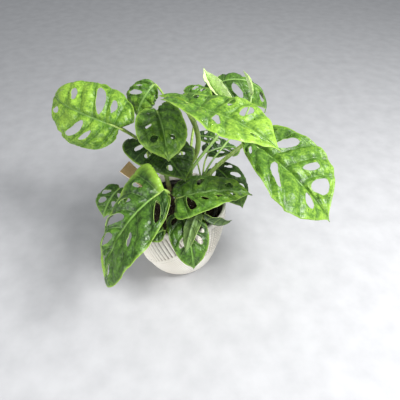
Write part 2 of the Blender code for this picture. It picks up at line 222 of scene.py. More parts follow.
def pot_relief(turn, height):
    """How far the pot's outside stands out at this turn from the front and height, in mm."""
    around = turn * PATTERN_RADIUS
    above_band = height - BAND_MIDDLE - BAND_RISE * math.sin(2 * turn + PATTERN_TURN)
    slanted = around + (height - 70) * RIB_SLANT
    rib = abs(math.sin(math.pi * slanted / RIB_STEP)) * RIB_HEIGHT - GROOVE_DEPTH
    fine = math.sin(math.tau * (around + height * FINE_SLANT) / FINE_STEP) * FINE_HEIGHT
    top = 1 - ease(height, *SMOOTH_TOP)
    above = ease(above_band, 1, 5) * top
    below = (1 - ease(above_band, -5, -1)) * ease(height, *SMOOTH_FOOT)
    ribbed = ease(math.cos(2 * (turn + PATTERN_TURN)), -0.15, 0.05)
    ribs = (band_relief(above_band, height) + rib * above + fine * below) * ribbed
    return ribs + bead_relief(around, height) * (1 - ribbed) * top


def stoneware():
    """Cream glaze, faintly mottled and speckled, with painted shade darkening the grooves of the
    relief.
    """
    glaze = Finish("cream_glaze", 0.55)
    mottled = glaze.ramp(glaze.noise(22, 6), (0.3, (0.80, 0.75, 0.65)), (0.7, (0.90, 0.87, 0.79)))
    specks = glaze.spread(glaze.cells(260)["Distance"], 0.03, 0.10)
    glazed = glaze.mix(specks, (0.5, 0.44, 0.35), mottled)
    # Painted shade: the grooves of the relief are darkened by their depth.
    groove_shade = glaze.spread(glaze.stored("groove")["Fac"], 0, 0.7, 0, 0.9)
    glaze.colour(glaze.mix(groove_shade, glazed, (0.20, 0.175, 0.14)))
    glaze.roughen(glaze.spread(glaze.noise(60), 0.3, 0.7, 0.48, 0.65))
    glaze.bump(glaze.noise(900), 0.00012)
    return glaze.material


def make_cover_pot():
    heights, radii = zip(*((height, radius) for radius, height in POT_OUTSIDE))
    curve = np.polyfit(heights, radii, 5)
    rows = np.linspace(heights[0], heights[-1], POT_ROWS)
    outside = [(float(np.polyval(curve, height)), float(height)) for height in rows]
    shape = turned((*POT_INSIDE, *POT_LIP, *outside, *POT_FOOT), POT_SIDES)
    # groove keeps how deep each point lies in the grooves, for the painted shade there.
    groove = shape.verts.layers.float.new("groove")
    for vert in shape.verts:
        around, height = math.hypot(vert.co.x, vert.co.y), vert.co.z / MM
        if heights[-1] < height < heights[0] and around > (np.polyval(curve, height) - 0.5) * MM:
            relief = pot_relief(math.atan2(vert.co.x, -vert.co.y), height)
            grow = 1 + relief * MM / around
            vert.co.x *= grow
            vert.co.y *= grow
            vert[groove] = max(0, -relief) / GROOVE_DEPTH
    return finished("glazed_cover_pot", shape, stoneware())


cover_pot = make_cover_pot()
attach(cover_pot, "root")
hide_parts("cover_pot")


# Grower's pot. Thin black polypropylene, vacuum formed, with a rolled lip and holes in its
# floor. It stands loose inside the cover pot, a little scuffed and dusty.
plastic = Finish("scuffed_black_plastic", 0.45)
dust = plastic.noise(60, 8)
plastic.colour(plastic.ramp(dust, (0.45, (0.012, 0.012, 0.012)), (0.8, (0.07, 0.06, 0.05))))
plastic.roughen(plastic.spread(dust, 0.3, 0.7, 0.35, 0.7))
plastic.bump(plastic.noise(500), 0.00008)
grower_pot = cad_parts["grower_pot"]
grower_pot.data.materials.clear()
grower_pot.data.materials.append(plastic.material)


# Potting soil. Dark peat with bark crumbs and a little white perlite, filled to just under
# the lip of the grower's pot and heaped a little in the middle.
SOIL_RADIUS = 53.6
SOIL_TOP = 104
SOIL_HEAP = 3
SOIL_FLOOR = 8.7
SOIL_SIDES = 120
CRUMBS = 420
CRUMB_REACH = 52


def soil_height(x, y):
    """The height of the soil's crumbled top, in mm."""
    reach = math.hypot(x, y) / SOIL_RADIUS
    lumps = noise.noise(Vector((x, y, 3)) * 0.16) * 1.6 + noise.noise(Vector((x, y, 9)) * 0.5)
    return SOIL_TOP + SOIL_HEAP - 4 * reach * reach + lumps * (1 - 0.4 * reach)


def peat():
    soil = Finish("damp_peat", 0.9)
    crumbs = soil.cells(420)
    soil.colour(
        soil.ramp(crumbs["Color"], (0.1, (0.012, 0.008, 0.005)), (0.85, (0.075, 0.045, 0.025)))
    )
    soil.bump(crumbs["Distance"], 0.0008)
    return soil.material


def perlite():
    grain = Finish("white_perlite", 0.9)
    pores = grain.noise(1500)
    grain.colour(grain.ramp(pores, (0.3, (0.35, 0.31, 0.26)), (0.7, (0.80, 0.78, 0.74))))
    grain.bump(pores, 0.0002)
    return grain.material


def make_soil():
    rings = [(SOIL_RADIUS * share, SOIL_TOP) for share in np.linspace(0, 1, 45)]
    shape = turned((*rings, (40, SOIL_FLOOR), (0, SOIL_FLOOR)), SOIL_SIDES)
    for vert in shape.verts:
        if vert.co.z > (SOIL_TOP - 1) * MM:
            vert.co.z = soil_height(vert.co.x / MM, vert.co.y / MM) * MM
    draw = random.Random(4)
    for index in range(CRUMBS):
        reach = CRUMB_REACH * math.sqrt(draw.random())
        turn = draw.random() * math.tau
        x, y = reach * math.cos(turn), reach * math.sin(turn)
        crumb = bmesh.ops.create_icosphere(shape, subdivisions=1, radius=MM)["verts"]
        size = draw.uniform(0.5, 1.9)
        stretch = Matrix.Diagonal((size * draw.uniform(0.8, 1.8), size, size * 0.6, 1))
        spin = Matrix.Rotation(draw.random() * math.tau, 4, "Z") @ Matrix.Rotation(0.4, 4, "X")
        lift = Matrix.Translation(Vector((x, y, soil_height(x, y) + size * 0.2)) * MM)
        bmesh.ops.transform(shape, matrix=lift @ spin @ stretch, verts=crumb)
        if index % 9 == 0:
            for face in {face for vert in crumb for face in vert.link_faces}:
                face.material_index = 1
    return finished("potting_soil", shape, peat(), perlite())


soil = make_soil()
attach(soil, "root")
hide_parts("soil")


# Card label. A strip of stiff brown card with a pale cut edge, pushed into the soil by its
# narrow end and left to lean out over the rim.


def brown_card():
    card = Finish("brown_card", 0.8)
    grain = card.node("Mapping", Vector=card.place, Scale=(1, 6, 1)).outputs["Vector"]
    fibre = card.noise(250, 8, grain)
    card.colour(card.ramp(fibre, (0.3, (0.74, 0.45, 0.19)), (0.7, (0.92, 0.64, 0.32))))
    card.bump(fibre, 0.00015)
    return card.material


def cut_card():
    card = Finish("cut_card_edge", 0.85)
    layers = card.noise(1200)
    card.colour(card.ramp(layers, (0.3, (0.62, 0.46, 0.30)), (0.7, (0.85, 0.74, 0.58))))
    card.bump(layers, 0.0001)
    return card.material


def make_label():
    shape = bmesh.new()
    shape.from_mesh(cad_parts["label"].data)
    bmesh.ops.remove_doubles(shape, verts=shape.verts, dist=0.00001)
    bmesh.ops.dissolve_limit(
        shape, angle_limit=0.02, verts=shape.verts, edges=shape.edges, use_dissolve_boundaries=False
    )
    widest = max(face.calc_area() for face in shape.faces)
    for face in shape.faces:
        face.material_index = 0 if face.calc_area() > widest * 0.5 else 1
    bmesh.ops.bevel(
        shape,
        geom=shape.edges[:],
        offset=0.0003,
        affect="EDGES",
        segments=2,
        profile=0.5,
        material=-1,
    )
    return finished("card_label", shape, brown_card(), cut_card())


label = make_label()
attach(label, "root")
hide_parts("label")


# Stems. Five rooted stems, green going brown and corky at the soil, with a raised ring at
# each joint where an old leaf fell.
# A radius, then the foot, the middle and the top, all in mm.
STEMS = {
    "stem_left": (3.8, ((-20, -8, 82), (-22, -8, 118), (-27, -4, 155))),
    "stem_front": (3.6, ((2, -30, 82), (3, -29, 112), (4, -24, 134))),
    "stem_right": (4.4, ((30, 8, 82), (34, 14, 115), (40, 25, 155))),
    "stem_back": (4.8, ((14, 32, 82), (16, 35, 118), (18, 40, 165))),
    "stem_rear_left": (3.8, ((-14, 42, 82), (-17, 44, 114), (-24, 48, 150))),
}
STEM_STEPS = 73
JOINT_STEP = 11


def stem_path(name, count):
    """Points up a stem, on a curve through the three that place it."""
    foot, middle, top = (Vector(point) for point in STEMS[name][1])
    bend = middle * 2 - (foot + top) / 2
    shares = [i / (count - 1) for i in range(count)]
    return [foot * (1 - s) ** 2 + bend * (2 * s * (1 - s)) + top * s**2 for s in shares]


def tube(points, radii, roundness):
    """A closed tube of mesh along points in mm, with a radius at each."""
    curve = bpy.data.curves.new("tube", "CURVE")
    curve.dimensions = "3D"
    curve.bevel_depth = MM
    curve.bevel_resolution = roundness
    curve.use_fill_caps = True
    spline = curve.splines.new("POLY")
    spline.points.add(len(points) - 1)
    for place, point, radius in zip(spline.points, points, radii):
        place.co = (*(point * MM), 1)
        place.radius = radius
    guide = bpy.data.objects.new("tube", curve)
    bpy.context.scene.collection.objects.link(guide)
    mesh = bpy.data.meshes.new_from_object(
        guide.evaluated_get(bpy.context.evaluated_depsgraph_get())
    )
    bpy.data.objects.remove(guide)
    mesh.materials.clear()
    return mesh


def stem_skin():
    stem = Finish("stem_skin", 0.45)
    streaks = stem.node("Mapping", Vector=stem.place, Scale=(1, 1, 0.25)).outputs["Vector"]
    grain = stem.noise(400, 6, streaks)
    green = stem.ramp(grain, (0.3, (0.07, 0.14, 0.02)), (0.7, (0.16, 0.28, 0.06)))
    cork = stem.ramp(grain, (0.3, (0.10, 0.06, 0.03)), (0.7, (0.24, 0.16, 0.08)))
    height = stem.node("SeparateXYZ", Vector=stem.place).outputs["Z"]
    wander = stem.maths("MULTIPLY", stem.noise(90), 0.03)
    up = stem.spread(stem.maths("ADD", height, wander), 0.115, 0.145)
    stem.colour(stem.mix(up, cork, green))
    stem.bump(grain, 0.0003)
    return stem.material


def make_stem(name, skin):
    radius = STEMS[name][0]
    points = stem_path(name, STEM_STEPS)
    length = sum((b - a).length for a, b in zip(points, points[1:]))
    radii = []
    for i in range(STEM_STEPS):
        from_joint = (i / (STEM_STEPS - 1) * length + 4) % JOINT_STEP - JOINT_STEP / 2
        ring = 0.14 * bell(from_joint, 0.9)
        radii.append(radius * (1 - 0.12 * i / STEM_STEPS + ring) * 0.98)
    radii[-1] *= 0.6
    shape = bmesh.new()
    shape.from_mesh(tube(points, radii, 6))
    bmesh.ops.remove_doubles(shape, verts=shape.verts, dist=0.00001)
    bmesh.ops.recalc_face_normals(shape, faces=shape.faces)
    return finished(name + "_jointed", shape, skin)


jointed_skin = stem_skin()
for stem_name in STEMS:
    stem = make_stem(stem_name, jointed_skin)
    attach(stem, "root")
    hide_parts(stem_name)


# Leaves. Thin leathery blades with long natural holes between the side veins. Each grows
# from its stem on a round green stalk that runs on under the blade as the midrib.
UP = Vector((0, 0, 1))
KEEL = 2.4  # midrib and blade together at the base, as the stalk meets it
BLADE = 0.6
COLUMNS = (-1, -0.84, -0.48, -0.1, 0, 0.1, 0.48, 0.84, 1)
FULL_KEEL_WIDTH = 60  # a narrower blade has a slighter midrib
MIDRIB_STEPS = 24
WAVES = 1.5
TONE_TO_TIP = 0.45  # how much limer the tip is than the base
STALK_STEPS = 29
STALK_EASE = 0.33  # how far the stalk's two ends hold their direction, in its length
STALK_TAIL = ((0.03, 0.9), (0.06, 0.75), (0.1, 0.55), (0.14, 0.3))  # under the midrib


@dataclass
class Leaf:
    """One leaf: its blade hangs between base and tip, and its stalk leaves its stem at node.

    right and left give the size of the hole in each panel between two side veins, from the
    base to the tip. Angles are in degrees. fold is how far each half lifts from the midrib
    and curl how far it turns on from there to the margin, right half first. late above 1
    keeps the midrib's bend for the tip. lobes are how far each half reaches back past the
    stalk, in leaf lengths, and a smaller heart brings its widest place nearer the base. tone
    runs from 0, dark, to 1, lime, and rim is the strength of the pale band along the margin
    and its width in mm on the right and on the left."""

    name: str
    stem: str
    node: float
    base: tuple
    tip: tuple
    width: float
    right: tuple
    left: tuple
    roll: float = 0
    arch: float = 40
    late: float = 1
    fold: tuple = (15, 15)
    curl: tuple = (-30, -30)
    lobes: tuple = (0.08, 0.08)
    heart: tuple = (0.75, 0.75)
    twist: float = 0
    wave: float = 2
    stalk: float = 1.6
    bow: tuple = (0, 0, 0)
    tone: float = 0.3
    rim: tuple = (0.5, 3, 3)
    young: bool = False


# Each leaf's tone and rim are partly its own green and partly painted light and shade: the high
# tone of leaf_far_left paints light shining through it, and the wide right rim of leaf_front_left
# paints light on its curled margin.
LEAVES = (
    Leaf("leaf_far_left", "stem_rear_left", 0.5, (-78, 30, 228), (-184, 112, 236), 104,
         (0, 0.5, 1, 0, 0.5, 0, 0), (0, 0, 0.5, 1, 0, 0.5, 0),
         roll=65, arch=70, late=2, fold=(0, 5), curl=(-75, -20), lobes=(0.12, -0.1),
         heart=(0.72, 0.72), stalk=2.4, bow=(-4, 30, 0), tone=0.75),
    Leaf("leaf_back_left", "stem_back", 0.05, (-33, 101, 259), (-62, 84, 215), 64,
         (0, 0.3, 0.9, 0, 0), (0, 0.4, 0, 0, 0),
         roll=35, arch=70, fold=(0, -50), curl=(-25, -65), lobes=(-0.15, -0.05), stalk=1.5,
         tone=0.55),
    Leaf("leaf_centre_left", "stem_rear_left", 1.0, (-28, 60, 238), (-8, -17, 205), 76,
         (0, 0, 0.3, 0.5, 0), (0, 0, 0, 0.3, 0),
         arch=60, fold=(4, 27), curl=(10, 30), lobes=(0.02, -0.35), heart=(0.9, 0.65), stalk=1.8,
         bow=(0, 14, 0), tone=0.45, rim=(0.8, 4, 4)),
    Leaf("leaf_centre_low", "stem_left", 1.0, (-43, 40, 202), (13, -14, 168), 84,
         (0, 0.6, 0.5, 0, 0.6, 0), (0, 0.4, 0.6, 0.6, 0, 0),
         arch=45, fold=(5, 15), curl=(-20, -20), lobes=(0.25, -0.25), heart=(0.6, 0.6), stalk=1.8,
         tone=0.15, rim=(0.7, 3, 3)),
    Leaf("leaf_front_left", "stem_left", 0.5, (-12, -62, 195), (-89, -130, 85), 102,
         (0, 0.3, 0.4, 0.9, 0.8, 0.6, 0), (0, 0.8, 0, 0.3, 0, 0.5, 0),
         roll=-5, twist=42, arch=80, fold=(38, -6), curl=(-50, -25), lobes=(0.05, -0.1),
         heart=(0.34, 0.8), stalk=2.2, tone=0.25, rim=(1, 15, 3)),
    Leaf("leaf_front_right", "stem_front", 1.0, (1, -38, 159), (107, -21, 150), 90,
         (0, 0.8, 0.4, 0.4, 0.4, 0), (0, 0, 0.6, 0, 0.7, 0),
         fold=(17, 5), curl=(-30, -25), lobes=(0.06, 0.06), heart=(0.36, 0.75), stalk=2, tone=0.5),
    Leaf("leaf_far_right", "stem_right", 0.75, (99, 32, 205), (203, -74, 150), 124,
         (0, 0.4, 0, 0.9, 0, 0.7, 0), (0, 0, 0.9, 0, 0.5, 1, 0),
         roll=-15, arch=55, fold=(36, -2), curl=(-20, 0), lobes=(-0.12, 0.1), heart=(0.95, 0.88),
         stalk=3.2, tone=0.48, rim=(0.6, 4, 4)),
    Leaf("leaf_top", "stem_back", 1.0, (13, 7, 278), (128, -58, 250), 92,
         (0, 0.3, 0, 0.7, 0, 0.3, 0), (0, 0.3, 0, 0.3, 0.7, 0, 0),
         roll=10, twist=25, arch=30, late=1.4, fold=(21, 8), curl=(-20, -20), lobes=(0.2, 0.3),
         heart=(0.85, 0.97), stalk=3.6, bow=(28, 8, 0), tone=0.63, rim=(0.9, 5, 5)),
    Leaf("leaf_back_right", "stem_back", 0.4, (43, 107, 247), (137, 128, 195), 74,
         (0, 0, 0.8, 0, 0.7, 0), (0, 0.6, 0, 0.9, 0, 0),
         roll=-10, arch=140, fold=(-20, -10), curl=(-40, -40), stalk=2, bow=(-6, 0, 0), tone=0.35),
    Leaf("leaf_mid_back", "stem_rear_left", 0.7, (12, 60, 264), (51, 47, 264), 46,
         (0, 0.6, 0.6, 0), (0, 0.7, 0.6, 0),
         arch=30, stalk=1.3, tone=0.5),
    Leaf("leaf_new", "stem_back", 0.62, (68, 76, 245), (38, 124, 272), 40,
         (0,) * 5, (0,) * 5,
         arch=-60, fold=(65, 35), curl=(20, 20), lobes=(0.2, 0.1), wave=0, stalk=2.2,
         bow=(9, 5, 0), tone=1, rim=(0.3, 3, 3), young=True),
    Leaf("leaf_bud", "stem_right", 1.0, (104, 64, 262), (93, 86, 285), 16,
         (0,) * 4, (0,) * 4,
         arch=10, fold=(80, 80), curl=(30, 30), wave=0, stalk=1.3, tone=1, young=True),
    Leaf("leaf_inner", "stem_right", 0.5, (32, 84, 180), (63, 82, 172), 34,
         (0, 0.6, 0.6, 0), (0, 0.7, 0, 0),
         stalk=1.2, tone=0.1),
    Leaf("leaf_rear_right", "stem_right", 0.38, (46, 82, 150), (98, 116, 133), 58,
         (0, 0.7, 0.7, 0.5, 0), (0, 0.7, 0.8, 0, 0),
         arch=50, stalk=1.4, tone=0.1),
    Leaf("leaf_right_low", "stem_right", 0.2, (56, 58, 138), (98, 3, 102), 56,
         (0, 0.6, 0.7, 0.5, 0), (0, 0.5, 0.7, 0.6, 0),
         roll=-10, arch=110, curl=(-50, -50), stalk=1.4, tone=0.2),
    Leaf("leaf_left_low", "stem_left", 0.2, (-87, 12, 135), (-108, -28, 112), 50,
         (0, 0.8, 0.8, 0), (0, 0.7, 0.7, 0),
         arch=70, curl=(-50, -50), stalk=1.3),
    Leaf("leaf_over_rim", "stem_front", 0.25, (6, -36, 128), (24, -96, 79), 54,
         (0, 0.8, 0, 0.7, 0, 0), (0, 0.7, 1, 0.8, 0, 0),
         arch=115, curl=(-20, -20), lobes=(0, 0), heart=(0.65, 0.65), stalk=1.4, tone=0.2),
    Leaf("leaf_pale_back", "stem_front", 0.65, (29, -55, 147), (14, -99, 118), 24,
         (0,) * 4, (0,) * 4,
         roll=160, arch=-30, stalk=1.2, tone=0.3),
    Leaf("leaf_rim_left", "stem_left", 0.0, (-17, -71, 131), (-37, -80, 119), 28,
         (0,) * 4, (0,) * 4,
         stalk=1.1, tone=0.15),
    Leaf("leaf_rim_right", "stem_right", 0.0, (38, -56, 140), (77, -48, 128), 22,
         (0,) * 4, (0,) * 4,
         roll=60, arch=-90, fold=(50, 50), stalk=1.1, bow=(14, 0, 0), tone=0),
    Leaf("leaf_rear_left", "stem_rear_left", 0.15, (-20, 74, 150), (-42, 148, 112), 66,
         (0, 0.6, 0.8, 0.6, 0), (0, 0.7, 0.9, 0.5, 0),
         arch=60, stalk=1.4, tone=0.25),
)


def flat_place(leaf, s, t):
    """A point of the flat blade: leaf lengths along, and half widths across.

    The side vein at s leaves the midrib at root and meets the margin at end. Veins near the
    base swing back round their lobe, and the others sweep forward."""
    reach = abs(t)
    half = 0 if t > 0 else 1
    lobe = leaf.lobes[half]
    start = min(1, s / 0.3)
    back, sweep = (1, 0.8) if lobe > 0 else (start * (2 - start), 1.6)
    root = s**1.5
    end = (1 + lobe) * s ** (1.2 - 0.4 * min(1, s / 0.4)) - lobe * back
    power = sweep + (1.6 - sweep) * start
    swell = math.sin(math.pi * (0.02 + 0.98 * s) ** leaf.heart[half])
    width = max(0.0, swell) ** (0.75 + 0.95 * s**6)
    return root + (end - root) * reach**power, width * reach


class Bend:
    """Takes points of a leaf's flat blade to their places on the bent and turned leaf."""

    def __init__(self, leaf):
        self.leaf = leaf
        self.base = Vector(leaf.base)
        chord = Vector(leaf.tip) - self.base
        self.ahead = chord.normalized()
        level = self.ahead.cross(UP).normalized()
        roll = math.radians(leaf.roll)
        self.side = level * math.cos(roll) + level.cross(self.ahead) * math.sin(roll)
        self.normal = self.side.cross(self.ahead)
        # The midrib arches in its own plane, which is then tilted so that it ends at the tip.
        self.share = np.linspace(0, 1, MIDRIB_STEPS + 1)
        slope = -math.radians(leaf.arch) * self.share**leaf.late
        middle = (slope[1:] + slope[:-1]) / 2
        run = np.append(0, np.cumsum(np.cos(middle))) / MIDRIB_STEPS
        rise = np.append(0, np.cumsum(np.sin(middle))) / MIDRIB_STEPS
        tilt = math.atan2(rise[-1], run[-1])
        self.length = chord.length / math.hypot(rise[-1], run[-1])
        self.run = (run * math.cos(tilt) + rise * math.sin(tilt)) * self.length
        self.rise = (rise * math.cos(tilt) - run * math.sin(tilt)) * self.length
        self.slope = slope - tilt

    def midrib(self, along):
        """The point of the midrib, its direction and the blade's normal there."""
        slope = float(np.interp(along, self.share, self.slope))
        run = float(np.interp(along, self.share, self.run))
        rise = float(np.interp(along, self.share, self.rise))
        before = min(along, 0) * self.length
        run += before * math.cos(slope)
        rise += before * math.sin(slope)
        point = self.base + self.ahead * run + self.normal * rise
        onward = self.ahead * math.cos(slope) + self.normal * math.sin(slope)
        return point, onward, self.side.cross(onward)

    def place(self, s, t):
        """The place of the point at side vein s and t half widths across, right positive."""
        leaf = self.leaf
        along, across = flat_place(leaf, s, t)
        half = 0 if t > 0 else 1
        point, onward, normal = self.midrib(along)
        twist = Matrix.Rotation(math.radians(leaf.twist) * along, 3, onward)
        start = math.radians(leaf.fold[half])
        turn = math.radians(leaf.curl[half]) or 1e-6
        end = start + turn * across
        reach = leaf.width / 2
        out = reach * (math.sin(end) - math.sin(start)) / turn
        lift = reach * (math.cos(start) - math.cos(end)) / turn
        phase = (leaf.width + half * 2) * 1.3
        lift += leaf.wave * math.sin(math.tau * WAVES * s + phase) * t * t * math.sin(math.pi * s)
        return point + twist @ (self.side * math.copysign(out, t) + normal * lift)


def pierce(shape, panel_faces, low, high, size, sign):
    """Opens a long hole in one panel between the side veins at low and high."""
    bmesh.ops.inset_region(shape, faces=panel_faces, thickness=0.001, use_even_offset=False)
    middle = (low + high) / 2
    for vert in {vert for face in panel_faces for vert in face.verts}:
        column = abs(vert.co.x)
        if column < 0.3:
            across, fullness = 0.46 - 0.32 * size, 0.3
        elif column > 0.7:
            across, fullness = 0.55 + 0.28 * size, 0.5
        else:
            across, fullness = 0.5, 0.85
        half_height = fullness * (0.2 + 0.8 * size) * (high - low) / 2
        vert.co.x = sign * across
        vert.co.y = middle + math.copysign(half_height, vert.co.y - middle)
    bmesh.ops.delete(shape, geom=panel_faces, context="FACES")


def blade_cage(leaf):
    """The flat blade with its holes: side veins run across x, half widths, at steps of y."""
    panels = len(leaf.right)
    shape = bmesh.new()
    bmesh.ops.create_grid(shape, x_segments=len(COLUMNS) - 1, y_segments=panels, size=1)
    even = np.linspace(-1, 1, len(COLUMNS))
    for vert in shape.verts:
        vert.co.x = np.interp(vert.co.x, even, COLUMNS)
        vert.co.y = (vert.co.y + 1) / 2
    for sign, sizes in ((1, leaf.right), (-1, leaf.left)):
        for panel, size in enumerate(sizes):
            low, high = panel / panels, (panel + 1) / panels
            found = []
            for face in shape.faces:
                middle = face.calc_center_median()
                if size and low < middle.y < high and 0.1 < middle.x * sign < 0.84:
                    found.append(face)
            if found:
                pierce(shape, found, low, high, size, sign)
    return shape


def modified(mesh, thickness=None, **modifiers):
    """The mesh with these modifiers applied, each given by its kind and its settings."""
    piece = bpy.data.objects.new(mesh.name, mesh)
    bpy.context.scene.collection.objects.link(piece)
    if thickness is not None:
        group = piece.vertex_groups.new(name="thickness")
        for index, share in enumerate(thickness):
            group.add([index], share, "REPLACE")
    for kind, settings in modifiers.items():
        modifier = piece.modifiers.new(kind, kind)
        for setting, value in settings.items():
            setattr(modifier, setting, value)
    made = bpy.data.meshes.new_from_object(
        piece.evaluated_get(bpy.context.evaluated_depsgraph_get())
    )
    bpy.data.objects.remove(piece)
    return made


def blade_relief(leaf, s, t, seed):
    """How far the blade puffs up between its side veins and dips along its midrib, in mm."""
    panels = len(leaf.right)
    puff = abs(math.sin(math.pi * s * panels)) ** 0.8 * leaf.width / 27
    from_midrib = abs(t) * leaf.width / 2
    inner = ease(from_midrib, 0.5, 7) * (1 - 0.6 * ease(abs(t), 0.75, 1))
    groove = 0.7 * bell(from_midrib, 1.1)
    sway = noise.noise(Vector((t * 1.8, s * 3.5, seed + 0.5))) * leaf.width / 18
    crinkle = noise.noise(Vector((t * 5, s * 11, seed))) * leaf.width / 32
    crinkle += noise.noise(Vector((t * 13, s * 25, seed))) * leaf.width / 75
    loose = (sway + crinkle) * ease(abs(t), 0.03, 0.4)
    return (puff * inner - groove + loose) * (1 - s**4)


def on_outline(look):
    """Whether a point read from the look layer lies on the blade's outer margin."""
    s, t, _ = look
    return abs(t) > 0.97 or s < 0.01 or s > 0.99


def bent_sheet(leaf, bend):
    """The blade as one sheet in its place.

    place holds, at each point, mm from the midrib, panels from the base and a panel's length.
    look holds s and t here, and make_blade puts the leaf's colour in it."""
    cage = as_mesh(leaf.name, blade_cage(leaf))
    subdivide = {"levels": 3, "render_levels": 3, "boundary_smooth": "PRESERVE_CORNERS"}
    shape = bmesh.new()
    shape.from_mesh(modified(cage, SUBSURF=subdivide))
    place = shape.verts.layers.float_vector.new("place")
    look = shape.verts.layers.float_vector.new("look")
    panels = len(leaf.right)
    for vert in shape.verts:
        s, t = min(1, max(0, vert.co.y)), vert.co.x
        half_width = flat_place(leaf, s, 1)[1] * leaf.width / 2
        vert[place] = (t * half_width, s * panels, bend.length / panels)
        vert[look] = (s, t, 0)
        vert.co = bend.place(s, t) * MM
    bmesh.ops.remove_doubles(shape, verts=shape.verts, dist=0.00003)
    shape.normal_update()
    return shape, place, look


def outer_margin(shape, look):
    """A search tree of the points on the blade's outer edge."""
    edge = [vert.co for vert in shape.verts if vert.is_boundary and on_outline(vert[look])]
    margin = kdtree.KDTree(len(edge))
    for index, co in enumerate(edge):
        margin.insert(co, index)
    margin.balance()
    return margin


def make_blade(leaf, bend, seed, finishes):
    """The blade as a mesh with its relief and thickness."""
    shape, place, look = bent_sheet(leaf, bend)
    margin = outer_margin(shape, look)
    strength, *widths = leaf.rim
    moves = []  # kept until every distance to the margin is read
    for vert in shape.verts:
        s, t, _ = vert[look]
        moves.append(vert.normal * blade_relief(leaf, s, t, seed) * MM)
        width = widths[0] if t > 0 else widths[1]
        rim = strength * (1 - ease(margin.find(vert.co)[2] / MM, 0, width))
        # The tone and pale margin band stored here are partly the leaf's own colour and partly
        # painted light and shade.
        vert[look] = (leaf.tone + TONE_TO_TIP * (s - 0.5), rim, seed)
    slender = min(1, leaf.width / FULL_KEEL_WIDTH)
    keel = []
    for vert, move in zip(shape.verts, moves):
        vert.co += move
        from_midrib, along, _ = vert[place]
        swell = bell(from_midrib, 1.3 * slender) * (1 - 0.75 * along / len(leaf.right))
        keel.append((BLADE + (KEEL - BLADE) * swell * slender) / KEEL)
    mesh = as_mesh(leaf.name, shape)
    for finish in finishes:
        mesh.materials.append(finish)
    thicken = {
        "thickness": KEEL * MM,
        "offset": -1,
        "vertex_group": "thickness",
        "material_offset": 1,
        "material_offset_rim": 2,
    }
    return modified(mesh, thickness=keel, SOLIDIFY=thicken)


def bezier(points, share):
    """The point at this share of a curve with four control points."""
    a, b, c, d = points
    rest = 1 - share
    return a * rest**3 + b * (3 * rest**2 * share) + c * (3 * rest * share**2) + d * share**3


def make_stalk(leaf, bend):
    """A round tube from the middle of the stem to the blade and on under its midrib."""
    stem = stem_path(leaf.stem, 25)
    low, high = SOIL_TOP + SOIL_HEAP + 4, stem[-1].z - 3
    start = min(stem, key=lambda point: abs(point.z - low - (high - low) * leaf.node))
    base, onward, normal = bend.midrib(0)
    span = (base - start).length
    outward = (base - start).normalized()
    leave = (outward + UP * 0.5).normalized()
    arrive = (onward + UP * 1.1 + outward * 0.4).normalized()
    below = normal * -(KEEL * 0.45)
    bow = Vector(leaf.bow)
    control = (
        start,
        start + leave * span * STALK_EASE + bow,
        base + below - arrive * span * STALK_EASE + bow,
        base + below,
    )
    shares = np.linspace(0, 1, STALK_STEPS)
    points = [bezier(control, float(share)) for share in shares]
    radii = []
    for share in shares:
        sheath = 0.15 * (1 - ease(share, 0.05, 0.55))
        joint = 0.12 * bell(share - 0.93, 0.04)
        radii.append(leaf.stalk * (1 + sheath + joint))
    for along, size in STALK_TAIL:
        place, _, up = bend.midrib(along)
        points.append(place - up * KEEL * 0.45)
        radii.append(leaf.stalk * size)
    return tube(points, radii, 3)


def mm_from_vein(skin, place):
    return skin.maths("MULTIPLY", skin.maths("PINGPONG", place["Y"], 0.5), place["Z"])


def leaf_top(name, dark, middle, light, pale):
    """Wet, leathery green, lighter along the veins, with painted shade in the creases beside them
    and a pale margin that is partly the leaf's own edge and partly painted light.
    """
    skin = Finish(name, 0.3)
    skin.shader.inputs["Specular IOR Level"].default_value = 0.4
    place = skin.node("SeparateXYZ", Vector=skin.stored("place")["Vector"]).outputs
    look = skin.node("SeparateXYZ", Vector=skin.stored("look")["Vector"]).outputs
    from_midrib = skin.maths("ABSOLUTE", place["X"])
    from_vein = mm_from_vein(skin, place)
    midrib = skin.spread(from_midrib, 0.6, 2, 0.95, 0)
    side_vein = skin.spread(from_vein, 0.15, 0.9, 0.3, 0)
    vein = skin.maths("MAXIMUM", midrib, side_vein)
    mottle = skin.maths("ADD", skin.noise(120, 5), skin.maths("MULTIPLY", skin.noise(420, 3), 0.8))
    tone = skin.maths("ADD", look["X"], skin.spread(mottle, 0.6, 1.2, -0.34, 0.34))
    # Painted shade in the creases beside the side veins, painted light on the puffs between them,
    # and painted shade beside the midrib.
    tone = skin.maths("ADD", tone, skin.spread(from_vein, 1, 5, -0.12, 0.06))
    tone = skin.maths("ADD", tone, skin.spread(from_midrib, 2, 7, -0.15, 0))
    green = skin.ramp(tone, (0, dark), (0.5, middle), (1, light))
    # The pale band along the margin: partly the leaf's own yellow-green edge and partly painted
    # light.
    green = skin.mix(look["Y"], green, light)
    skin.colour(skin.mix(vein, green, pale))
    pucker = skin.maths("ADD", skin.noise(160, 3), skin.maths("MULTIPLY", skin.noise(480, 3), 0.22))
    height = skin.maths("ADD", pucker, skin.maths("MULTIPLY", vein, -0.25))
    skin.bump(height, 0.002, 0.65)
    skin.roughen(skin.spread(skin.noise(150), 0.3, 0.7, 0.32, 0.5))
    return skin.material


